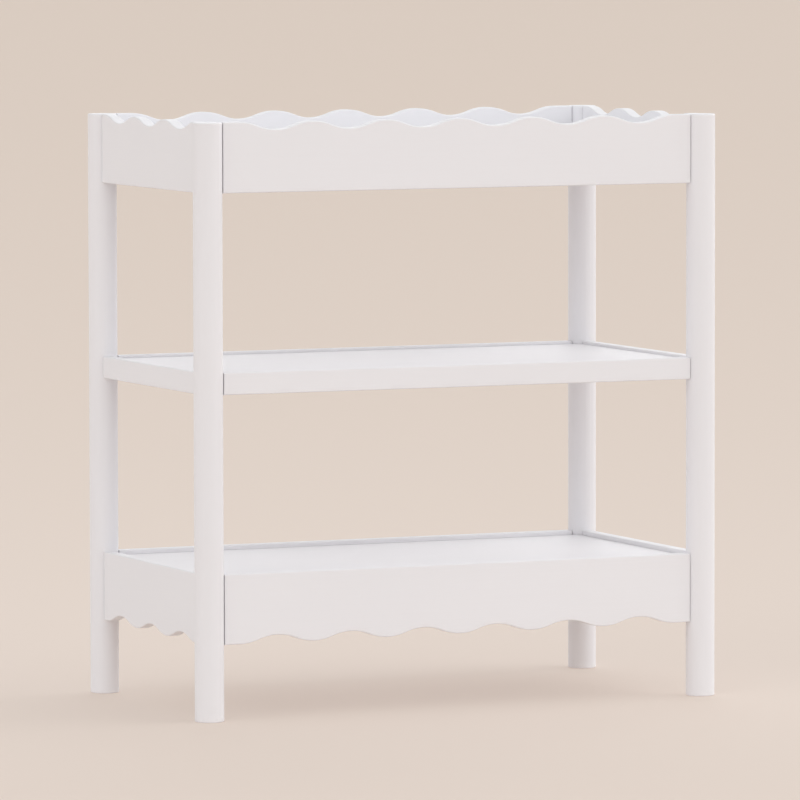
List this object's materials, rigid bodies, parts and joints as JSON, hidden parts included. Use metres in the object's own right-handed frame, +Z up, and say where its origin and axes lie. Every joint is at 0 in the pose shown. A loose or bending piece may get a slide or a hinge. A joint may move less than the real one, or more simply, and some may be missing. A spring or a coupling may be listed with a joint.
{
  "type": "changing table",
  "caption": "Open wooden changing table on round posts, with a deep scalloped tray on top, a plain middle shelf and a bottom shelf behind a scalloped apron.",
  "frame": {"origin": "on the floor under the middle of the table", "axes": "+X to the right along the front, +Y to the back, +Z up"},
  "size_m": [0.88, 0.4758, 0.914],
  "materials": {
    "white_paint": "satin white paint over wood",
    "beech": "bare planed beech",
    "zinc_plated_steel": "bright zinc plate",
    "zinc_casting": "dull cast zinc",
    "white_plastic": "moulded matt"
  },
  "bodies": {
    "root": {"apron_back": "white_paint", "apron_front": "white_paint", "apron_left": "white_paint", "apron_right": "white_paint", "bottom_shelf_cleat_back": "white_paint", "bottom_shelf_cleat_front": "white_paint", "bottom_shelf_cleat_left": "white_paint", "bottom_shelf_cleat_right": "white_paint", "bottom_shelf_panel": "white_paint", "cam_bolts": "zinc_plated_steel", "cam_caps": "white_plastic", "cam_nuts": "zinc_casting", "cleat_screws": "zinc_plated_steel", "middle_shelf_cleat_back": "white_paint", "middle_shelf_cleat_front": "white_paint", "middle_shelf_cleat_left": "white_paint", "middle_shelf_cleat_right": "white_paint", "middle_shelf_panel": "white_paint", "panel_screws": "zinc_plated_steel", "post_back_left": "white_paint", "post_back_right": "white_paint", "post_front_left": "white_paint", "post_front_right": "white_paint", "shelf_rail_back": "white_paint", "shelf_rail_front": "white_paint", "shelf_rail_left": "white_paint", "shelf_rail_right": "white_paint", "tray_cleat_back": "white_paint", "tray_cleat_front": "white_paint", "tray_cleat_left": "white_paint", "tray_cleat_right": "white_paint", "tray_panel": "white_paint", "tray_rail_back": "white_paint", "tray_rail_front": "white_paint", "tray_rail_left": "white_paint", "tray_rail_right": "white_paint", "wood_dowels": "beech"}
  },
  "joints": []
}
